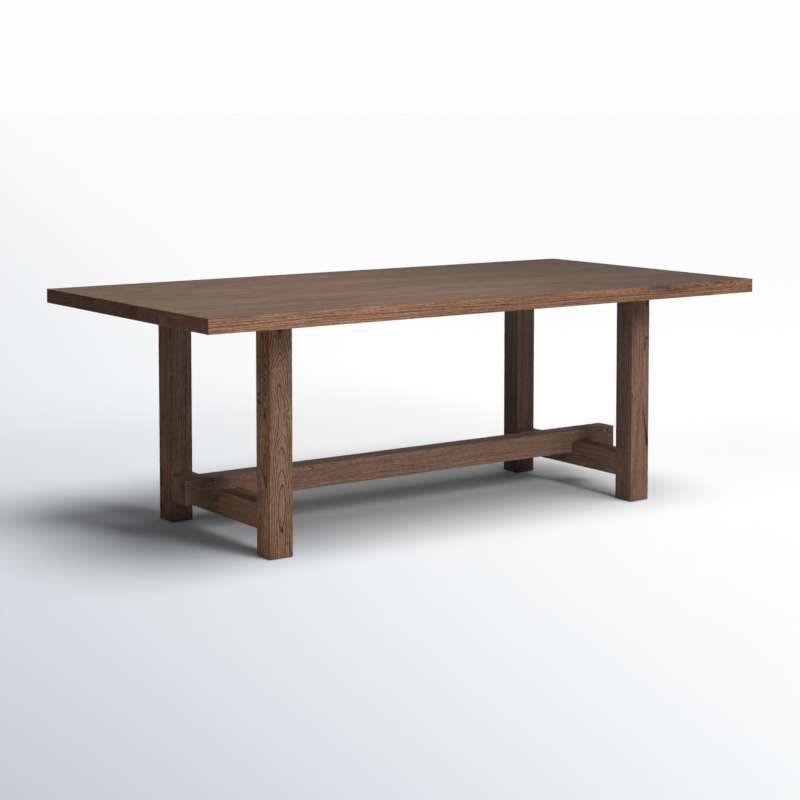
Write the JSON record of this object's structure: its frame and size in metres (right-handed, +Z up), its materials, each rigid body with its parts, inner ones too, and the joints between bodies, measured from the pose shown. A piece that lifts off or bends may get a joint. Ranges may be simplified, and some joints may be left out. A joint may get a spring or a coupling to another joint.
{
  "type": "dining table",
  "caption": "Rectangular solid wood dining table: thick plank top on square legs set in from its edges, joined by low cross stretchers and a centre stretcher.",
  "frame": {"origin": "on the floor, under the centre of the top", "axes": "+X along the length of the top, +Y across it from the front to the back, +Z up"},
  "size_m": [2.1336, 1.0668, 0.762],
  "materials": {
    "top_wood": "brown stain under a satin lacquer",
    "leg_wood": "brown stain under a satin lacquer",
    "rail_wood": "brown stain under a satin lacquer",
    "zinc_steel": "zinc plated",
    "glide_nylon": "moulded, matt"
  },
  "bodies": {
    "root": {"top_board_1": "top_wood", "top_board_2": "top_wood", "top_board_3": "top_wood", "top_board_4": "top_wood", "top_board_5": "top_wood", "top_board_6": "top_wood", "top_board_7": "top_wood", "top_board_8": "top_wood", "leg_front_left": "leg_wood", "leg_front_right": "leg_wood", "leg_back_left": "leg_wood", "leg_back_right": "leg_wood", "cross_stretcher_left": "rail_wood", "cross_stretcher_right": "rail_wood", "long_stretcher": "rail_wood", "bearer_left": "rail_wood", "bearer_right": "rail_wood", "top_bolts": "zinc_steel", "top_washers": "zinc_steel", "top_inserts": "zinc_steel", "lap_bolts": "zinc_steel", "lap_washers": "zinc_steel", "lap_inserts": "zinc_steel", "foot_glides": "glide_nylon", "glide_screws": "zinc_steel"}
  },
  "joints": []
}
